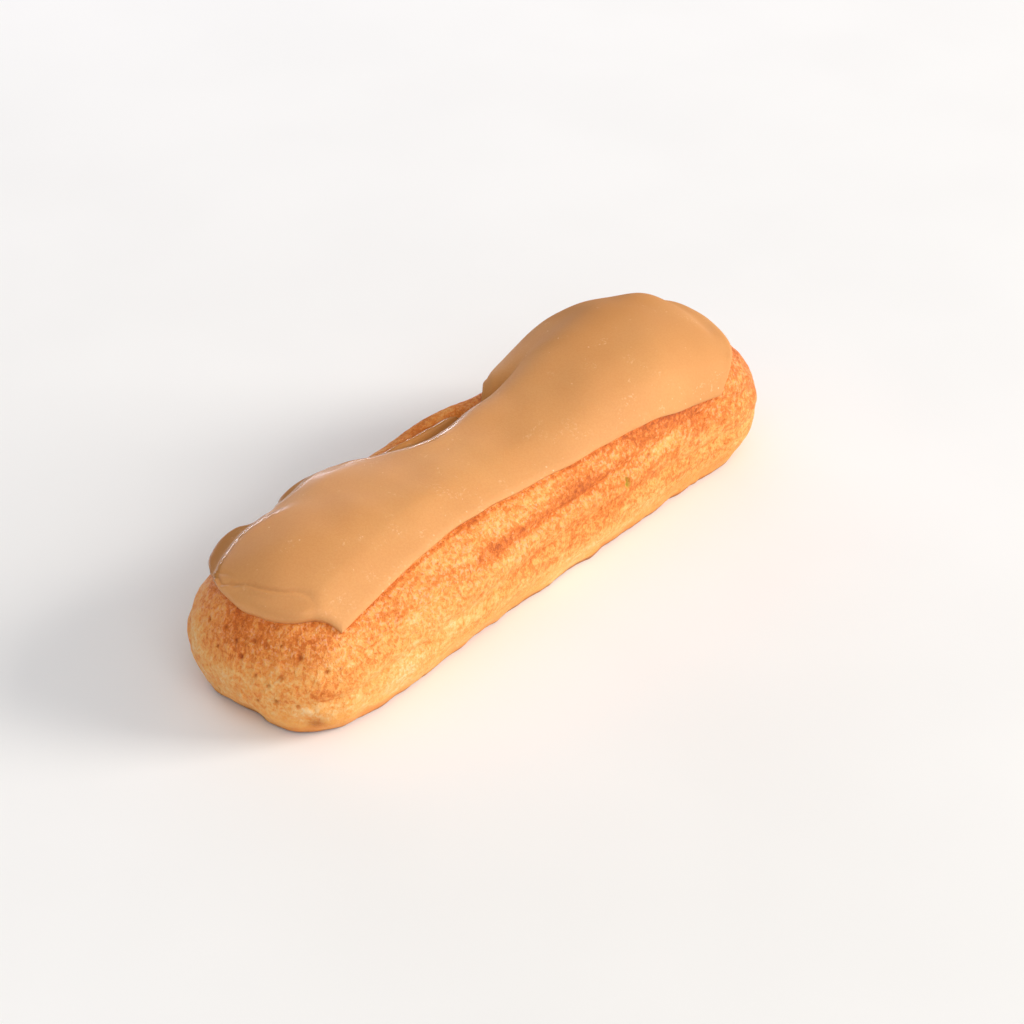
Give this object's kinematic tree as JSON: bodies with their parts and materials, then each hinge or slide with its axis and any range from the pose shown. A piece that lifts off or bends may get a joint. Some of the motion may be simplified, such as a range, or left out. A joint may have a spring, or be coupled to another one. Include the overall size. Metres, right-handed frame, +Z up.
{
  "type": "coffee eclair",
  "caption": "Oblong choux pastry with rounded ends and a flat base, its top covered by a smooth poured icing with an uneven lower edge.",
  "frame": {"origin": "on the flat base, under the middle of the whole pastry's bounding box", "axes": "+X along the loaf towards its taller end, -Y to the front, the side where the icing stops high up, +Z up from the base"},
  "size_m": [0.1436, 0.0418, 0.0357],
  "materials": {
    "crust": "baked choux crust, mottled golden orange to brown, matt",
    "icing": "coffee and caramel coloured fondant, opaque, satin gloss"
  },
  "bodies": {
    "root": {"choux": "crust", "icing": "icing"}
  },
  "joints": []
}
